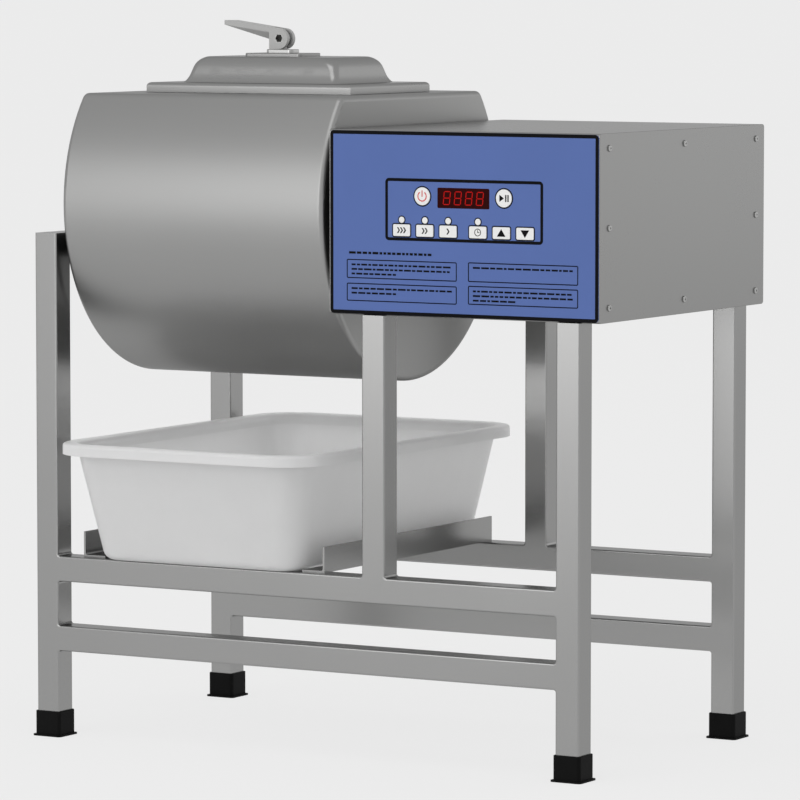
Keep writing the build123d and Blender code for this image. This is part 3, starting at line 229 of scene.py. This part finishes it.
MATERIALS = {
    "satin_sheet": steel("satin_sheet", SHEET, 0.28, ALONG_X),
    "drum_sheet": steel("drum_sheet", DRUM, 0.40, ALONG_X),
    "satin_tube": steel("satin_tube", TUBE, 0.24, ALONG_X),
    "upright_tube": steel("upright_tube", TUBE, 0.24, ALONG_Z),
    "cross_tube": steel("cross_tube", TUBE, 0.24, ALONG_Y),
    "machined_steel": steel("machined_steel", MACHINED, 0.34, FINE_GRAIN, streak=0.06),
    "polished_steel": steel("polished_steel", POLISHED, 0.45, COARSE_GRAIN),
    "bright_steel": steel("bright_steel", BRIGHT, 0.22, COARSE_GRAIN),
    "blasted_steel": steel("blasted_steel", BLASTED, 0.55, COARSE_GRAIN, metallic=0.35),
    "painted_casting": moulded("painted_casting", (0.10, 0.13, 0.15), 0.45, 0.0012, bump=0.2),
    "motor_paint": moulded("motor_paint", (0.10, 0.13, 0.16), 0.45, 0.0012, bump=0.2),
    "black_rubber": moulded("black_rubber", grey(0.004), 0.60, 0.0010, variation=0.3, bump=0.25,
                            specular=0.08),
    "white_rubber": moulded("white_rubber", (0.68, 0.67, 0.63), 0.55, 0.0010),
    "black_plastic": moulded("black_plastic", grey(0.015), 0.45, 0.0006, variation=0.2, bump=0.15),
    "board_green": moulded("board_green", (0.02, 0.13, 0.05), 0.40, 0.0008, variation=0.2),
    "tub_plastic": moulded("tub_plastic", grey(0.84), 0.40, 0.0016, variation=0.02, bump=0.04, milky=0.8),
    "blue_film": moulded("blue_film", (0.094, 0.153, 0.395), 0.48, 0.0005, variation=0.02, bump=0.03,
                         specular=0.15),
    "display_red": moulded("display_red", (0.026, 0.002, 0.002), 0.25, 0.0010, variation=0.1, bump=0.01,
                           specular=0.02),
    "key_white": moulded("key_white", (0.80, 0.80, 0.79), 0.35, 0.0006, variation=0.02),
}
BLACK_INK = moulded("black_ink", (0.004, 0.004, 0.005), 0.50, 0.0006, variation=0.2, bump=0.03, specular=0.05)
RED_INK = moulded("red_ink", (0.62, 0.030, 0.030), 0.40, 0.0006, variation=0.06, bump=0.03)
LIT_SEGMENTS = glowing("lit_segments", (0.34, 0.003, 0.002), (0.44, 0.005, 0.003), 0.25)


def dress_nodes():
    """Gives every CAD node the material of its slot, or a closer match for a few of them."""
    for part in frame["record"]["subparts"]:
        node, slot = part["node"], part["material_slot"]
        if node.endswith("_post"):
            slot = "upright_tube"
        elif node == "drum_shell":
            slot = "drum_sheet"
        elif node in ("cam_pad", "side_cover_screws"):
            slot = "bright_steel"
        elif node == "cam_lever":
            slot = "blasted_steel"
        elif node in ("bearing_beam", "left_tub_rail", "right_tub_rail"):
            slot = "cross_tube"
        mesh = frame["nodes"][node].data
        mesh.materials.clear()
        mesh.materials.append(MATERIALS[slot])


# The housing's front: places on it are in mm from its left bottom corner, which is given here in metres
PANEL_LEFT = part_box("drive_housing")[0].x
PANEL_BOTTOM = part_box("drive_housing")[0].z


def spot(node):
    """The middle of a node, as a place on the housing's front."""
    low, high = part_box(node)
    return ((low.x + high.x) / 2 - PANEL_LEFT) / MM, ((low.z + high.z) / 2 - PANEL_BOTTOM) / MM


def size(node):
    """The width and height of a node, in mm."""
    low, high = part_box(node)
    return (high.x - low.x) / MM, (high.z - low.z) / MM


def front(node):
    """The depth of a node's front face, in metres."""
    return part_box(node)[0].y


# Outlines
CORNER_STEPS = 8
CIRCLE_STEPS = 40
LEAST_CORNER = 0.3


def rounded(width, height, radius):
    """Points round a rectangle with rounded corners, about its centre, in mm."""
    points = []
    for number, (sx, sz) in enumerate(((1, 1), (-1, 1), (-1, -1), (1, -1))):
        cx, cz = sx * (width / 2 - radius), sz * (height / 2 - radius)
        for step in range(CORNER_STEPS + 1):
            angle = math.pi / 2 * (number + step / CORNER_STEPS)
            points.append((cx + radius * math.cos(angle), cz + radius * math.sin(angle)))
    return points


def circle(radius):
    """Points round a whole circle, in mm."""
    angles = [math.tau * step / CIRCLE_STEPS for step in range(CIRCLE_STEPS)]
    return [(radius * math.cos(angle), radius * math.sin(angle)) for angle in angles]


def arc(radius, start, end, steps):
    """Points along part of a circle, both ends among them, with angles in degrees."""
    angles = [math.radians(start + (end - start) * step / steps) for step in range(steps + 1)]
    return [(radius * math.cos(angle), radius * math.sin(angle)) for angle in angles]


# Printed pieces
INK = 0.12 * MM
INK_SINK = 0.03 * MM


class Print:
    """A thin layer of ink on the housing's front."""

    def __init__(self, name, face):
        self.name = name
        self.face = face
        self.mesh = bmesh.new()

    def loop(self, points, centre, depth):
        return [self.mesh.verts.new((PANEL_LEFT + (centre[0] + x) * MM, depth,
                                     PANEL_BOTTOM + (centre[1] + z) * MM)) for x, z in points]

    def wall(self, one, two, closed=True):
        count = len(one)
        for i in range(count if closed else count - 1):
            j = (i + 1) % count
            self.mesh.faces.new((one[i], one[j], two[j], two[i]))

    def fill(self, points, centre=(0, 0)):
        top = self.loop(points, centre, self.face - INK)
        back = self.loop(points, centre, self.face + INK_SINK)
        self.mesh.faces.new(top)
        self.mesh.faces.new(back[::-1])
        self.wall(top, back)

    def bar(self, x0, z0, x1, z1):
        self.fill([(x0, z0), (x1, z0), (x1, z1), (x0, z1)])

    def ring(self, outer, inner, centre, closed=True):
        """The band between two lines of as many points each."""
        loops = [self.loop(points, centre, depth) for points in (outer, inner)
                 for depth in (self.face - INK, self.face + INK_SINK)]
        outer_top, outer_back, inner_top, inner_back = loops
        self.wall(outer_top, inner_top, closed)
        self.wall(inner_back, outer_back, closed)
        self.wall(outer_back, outer_top, closed)
        self.wall(inner_top, inner_back, closed)
        if not closed:
            for end in (0, -1):
                self.mesh.faces.new([line[end] for line in (outer_top, outer_back, inner_back, inner_top)])

    def outline(self, centre, extent, radius, line):
        """A line round a rectangle with rounded corners, inside its width and height."""
        width, height = extent
        outer = rounded(width, height, radius)
        inner = rounded(width - 2 * line, height - 2 * line, max(radius - line, LEAST_CORNER))
        self.ring(outer, inner, centre)

    def done(self, body, material):
        bmesh.ops.recalc_face_normals(self.mesh, faces=self.mesh.faces)
        data = bpy.data.meshes.new(self.name)
        self.mesh.to_mesh(data)
        self.mesh.free()
        data.materials.append(material)
        piece = bpy.data.objects.new(self.name, data)
        bpy.context.collection.objects.link(piece)
        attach(piece, body)


# Print on the panel: a border, the keypad's frame and frames of dashes; and thin dark rims round keys and
# lenses
PANEL_CORNER = 6.0
BORDER = 5.2
WINDOW_CENTRE = (222.6, 153.6)
WINDOW_SIZE = (258.0, 89.4)
WINDOW_LINE = 4.4
SQUARE_KEYS = ("fast_key", "medium_key", "slow_key", "time_key", "up_key", "down_key")
LENS_KEYS = ("fast_key", "medium_key", "slow_key", "time_key")
ROUND_KEYS = ("start_key", "power_key")
SQUARE_RIM = (31.6, 20.4)
SQUARE_RIM_CORNER = 3.6
SQUARE_RIM_LINE = 1.5
ROUND_RIM_RADII = (14.8, 13.1)
LENS_RIM_RADII = (6.2, 4.7)
NOTE_FRAMES = ((29.2, 52.7, 211.6, 80.3), (29.2, 19.9, 211.6, 46.0),
               (230.0, 53.0, 408.0, 81.0), (230.0, 20.7, 408.0, 47.6))
NOTE_LINES = (3, 2, 1, 3)
NOTE_CORNER = 2.4
NOTE_LINE = 1.5
NOTE_MARGIN = 8.0
NOTE_TOP = 9.0
NOTE_PITCH = 6.6
NOTE_HEIGHT = 2.6
LAST_LINE = 0.45
HEADING_ENDS = (33.0, 170.0)
HEADING_BASE = 88.0
HEADING_HEIGHT = 3.4
DASH_LENGTHS = (4.0, 13.0)
DASH_GAP = 2.0
DASH_SEED = 7


def dashes(ink, draw, left, right, base, height):
    """A row of short dashes in the place of a printed line."""
    shortest, longest = DASH_LENGTHS
    x = left
    while x < right - shortest:
        width = min(draw.uniform(shortest, longest), right - x)
        ink.bar(x, base, x + width, base + height)
        x += width + DASH_GAP


def panel_print():
    ink = Print("panel_print", front("panel_overlay"))
    ink.outline(spot("panel_overlay"), size("panel_overlay"), PANEL_CORNER, BORDER)
    ink.outline(WINDOW_CENTRE, WINDOW_SIZE, PANEL_CORNER, WINDOW_LINE)
    # Thin dark rims round the keys and lenses, in the same black as the print
    for key in SQUARE_KEYS:
        ink.outline(spot(key), SQUARE_RIM, SQUARE_RIM_CORNER, SQUARE_RIM_LINE)
    for key in ROUND_KEYS:
        ink.ring(*map(circle, ROUND_RIM_RADII), spot(key))
    lens_row = spot("indicator_lenses")[1]
    for key in LENS_KEYS:
        ink.ring(*map(circle, LENS_RIM_RADII), (spot(key)[0], lens_row))
    draw = random.Random(DASH_SEED)
    for (x0, z0, x1, z1), lines in zip(NOTE_FRAMES, NOTE_LINES):
        ink.outline(((x0 + x1) / 2, (z0 + z1) / 2), (x1 - x0, z1 - z0), NOTE_CORNER, NOTE_LINE)
        for line in range(lines):
            whole = lines == 1 or line < lines - 1
            end = x1 - NOTE_MARGIN if whole else x0 + LAST_LINE * (x1 - x0)
            dashes(ink, draw, x0 + NOTE_MARGIN, end, z1 - NOTE_TOP - NOTE_PITCH * line, NOTE_HEIGHT)
    dashes(ink, draw, HEADING_ENDS[0], HEADING_ENDS[1], HEADING_BASE, HEADING_HEIGHT)
    ink.done("stand", BLACK_INK)


# Symbols on the keys: speeds, a clock, arrows, start and power
SPEEDS = {"fast_key": 3, "medium_key": 2, "slow_key": 1}
CHEVRON_PITCH = 5.0
CHEVRON_HALF = 4.2
CHEVRON_LEFT = -2.4
CHEVRON_STROKE = 2.2
CHEVRON_REACH = 2.8
CLOCK_RADII = (5.4, 4.3)
HAND_HALF = 0.5
LONG_HAND = 3.4
SHORT_HAND = 2.9
ARROW_HALF = 7.0
ARROW_BASE = -5.0
ARROW_TIP = 5.8
START_LEFT = -7.0
START_TIP = 0.4
START_HALF = 5.0
START_BARS = ((2.4, 4.4), (6.0, 8.0))
POWER_RADII = (7.6, 6.0)
POWER_ARC = (125.0, 415.0)
POWER_STEPS = 36
STEM_HALF = 0.8
STEM_ENDS = (-0.6, 8.4)


def chevrons(ink, centre, count):
    for number in range(count):
        left = (number - (count - 1) / 2) * CHEVRON_PITCH + CHEVRON_LEFT
        edge = [(left, -CHEVRON_HALF), (left + CHEVRON_REACH, 0.0), (left, CHEVRON_HALF)]
        ink.fill(edge + [(x + CHEVRON_STROKE, z) for x, z in edge[::-1]], centre)


def clock(ink, centre):
    x, z = centre
    ink.ring(*map(circle, CLOCK_RADII), centre)
    ink.bar(x - HAND_HALF, z - HAND_HALF, x + HAND_HALF, z + LONG_HAND)
    ink.bar(x + HAND_HALF, z - HAND_HALF, x + SHORT_HAND, z + HAND_HALF)


def arrow(ink, centre, way):
    """A triangle that points up where way is 1, and down where it is -1."""
    ink.fill([(-ARROW_HALF, way * ARROW_BASE), (ARROW_HALF, way * ARROW_BASE), (0, way * ARROW_TIP)], centre)


def start_symbol(ink, centre):
    x, z = centre
    ink.fill([(START_LEFT, -START_HALF), (START_TIP, 0.0), (START_LEFT, START_HALF)], centre)
    for left, right in START_BARS:
        ink.bar(x + left, z - START_HALF, x + right, z + START_HALF)


def power_symbol(ink, centre):
    x, z = centre
    outer, inner = [arc(radius, *POWER_ARC, POWER_STEPS) for radius in POWER_RADII]
    ink.ring(outer, inner, centre, closed=False)
    ink.bar(x - STEM_HALF, z + STEM_ENDS[0], x + STEM_HALF, z + STEM_ENDS[1])


def key_symbols():
    for key in SQUARE_KEYS + ROUND_KEYS:
        ink = Print(key + "_symbol", front(key))
        centre = spot(key)
        if key in SPEEDS:
            chevrons(ink, centre, SPEEDS[key])
        elif key == "time_key":
            clock(ink, centre)
        elif key == "up_key":
            arrow(ink, centre, 1)
        elif key == "down_key":
            arrow(ink, centre, -1)
        elif key == "start_key":
            start_symbol(ink, centre)
        else:
            power_symbol(ink, centre)
        if key == "power_key":
            ink.done(key + "_cap", RED_INK)
        else:
            ink.done(key + "_cap", BLACK_INK)


# Seven-segment figures in the display's window
FIGURES = 4
FIGURE_PITCH = 18.0
FIGURE_SIZE = (10.2, 18.4)
FIGURE_SLANT = 0.10
SEGMENT = 1.4
SEGMENT_GAP = 0.35


def display_figures():
    ink = Print("display_figures", front("display_window"))
    centre_x, centre_z = spot("display_window")
    half_w, half_h = FIGURE_SIZE[0] / 2, FIGURE_SIZE[1] / 2
    cut = SEGMENT / 2
    flat = [(0, z, "flat", half_w) for z in (-half_h, 0, half_h)]
    upright = [(sx * half_w, sz * half_h / 2, "upright", half_h / 2) for sx in (-1, 1) for sz in (-1, 1)]
    for number in range(FIGURES):
        figure_x = centre_x + (number - (FIGURES - 1) / 2) * FIGURE_PITCH
        for x, z, way, reach in flat + upright:
            end = reach - SEGMENT_GAP
            points = [(-end, 0), (-end + cut, -cut), (end - cut, -cut),
                      (end, 0), (end - cut, cut), (-end + cut, cut)]
            if way == "upright":
                points = [(-v, u) for u, v in points]
            slanted = [(x + u + FIGURE_SLANT * (z + v), z + v) for u, v in points]
            ink.fill(slanted, (figure_x, centre_z))
    ink.done("stand", LIT_SEGMENTS)


# Studio: floor, light and camera

def make_floor():
    bpy.ops.mesh.primitive_plane_add(size=FLOOR_SIZE)
    floor = bpy.context.object
    floor.name = "floor"
    n = Nodes("floor")
    clouds = n.noise(EVEN, FLOOR_CLOUDS)
    tone = n.tint(clouds, grey(FLOOR_TONES[0]), grey(FLOOR_TONES[1]))
    material = n.finish(tone, n.spread(clouds, *FLOOR_ROUGHNESS), specular=FLOOR_SPECULAR)
    path = n.add("ShaderNodeLightPath")
    glow = n.add("ShaderNodeEmission")
    glow.inputs["Color"].default_value = (*grey(FLOOR_GLOW), 1)
    share = None
    for ray, weight in FLOOR_SHARES.items():
        step = n.add("ShaderNodeMath", operation="MULTIPLY_ADD")
        step.inputs[1].default_value = weight
        n.link(path.outputs[ray], step.inputs[0])
        if share is None:
            step.inputs[2].default_value = 0.0
        else:
            n.link(share, step.inputs[2])
        share = step.outputs[0]
    mix = n.add("ShaderNodeMixShader")
    n.link(share, mix.inputs["Fac"])
    n.link(n.shader.outputs["BSDF"], mix.inputs[1])
    n.link(glow.outputs["Emission"], mix.inputs[2])
    output = n.tree.nodes["Material Output"]
    n.link(mix.outputs["Shader"], output.inputs["Surface"])
    floor.data.materials.append(material)


def make_world():
    """A grey world whose tone follows the height of the view."""
    world = bpy.data.worlds.new("studio")
    bpy.context.scene.world = world
    world.use_nodes = True
    tree = world.node_tree
    coords = tree.nodes.new("ShaderNodeTexCoord")
    split = tree.nodes.new("ShaderNodeSeparateXYZ")
    lift = tree.nodes.new("ShaderNodeMapRange")
    lift.inputs["From Min"].default_value = -1.0
    ramp = tree.nodes.new("ShaderNodeValToRGB")
    elements = ramp.color_ramp.elements
    for place, tone in WORLD_TONES[1:-1]:
        elements.new(place).color = (*grey(tone), 1)
    for end in (0, -1):
        elements[end].color = (*grey(WORLD_TONES[end][1]), 1)
    tree.links.new(coords.outputs["Generated"], split.inputs["Vector"])
    tree.links.new(split.outputs["Z"], lift.inputs["Value"])
    tree.links.new(lift.outputs["Result"], ramp.inputs["Fac"])
    tree.links.new(ramp.outputs["Color"], tree.nodes["Background"].inputs["Color"])


def softbox(name, place, target, extent, power):
    light = bpy.data.lights.new(name, "AREA")
    light.shape = "RECTANGLE"
    light.size, light.size_y = extent
    light.energy = power
    lamp = bpy.data.objects.new(name, light)
    lamp.location = place
    lamp.rotation_mode = "QUATERNION"
    lamp.rotation_quaternion = (Vector(target) - Vector(place)).to_track_quat("-Z", "Y")
    bpy.context.collection.objects.link(lamp)


def make_camera():
    data = bpy.data.cameras.new("camera")
    data.lens = CAMERA_LENS
    data.sensor_width = SENSOR_WIDTH
    data.clip_end = CAMERA_REACH
    camera = bpy.data.objects.new("camera", data)
    camera.location = CAMERA_PLACE
    camera.rotation_euler = (math.radians(90.0 - CAMERA_DOWN), 0.0, math.radians(CAMERA_AZIMUTH))
    bpy.context.collection.objects.link(camera)
    bpy.context.scene.camera = camera


make_camera()
make_floor()
make_world()
for lamp_name, setting in SOFTBOXES.items():
    softbox(lamp_name, *setting)
dress_nodes()
panel_print()
key_symbols()
display_figures()

bpy.context.scene.view_settings.view_transform = "Standard"
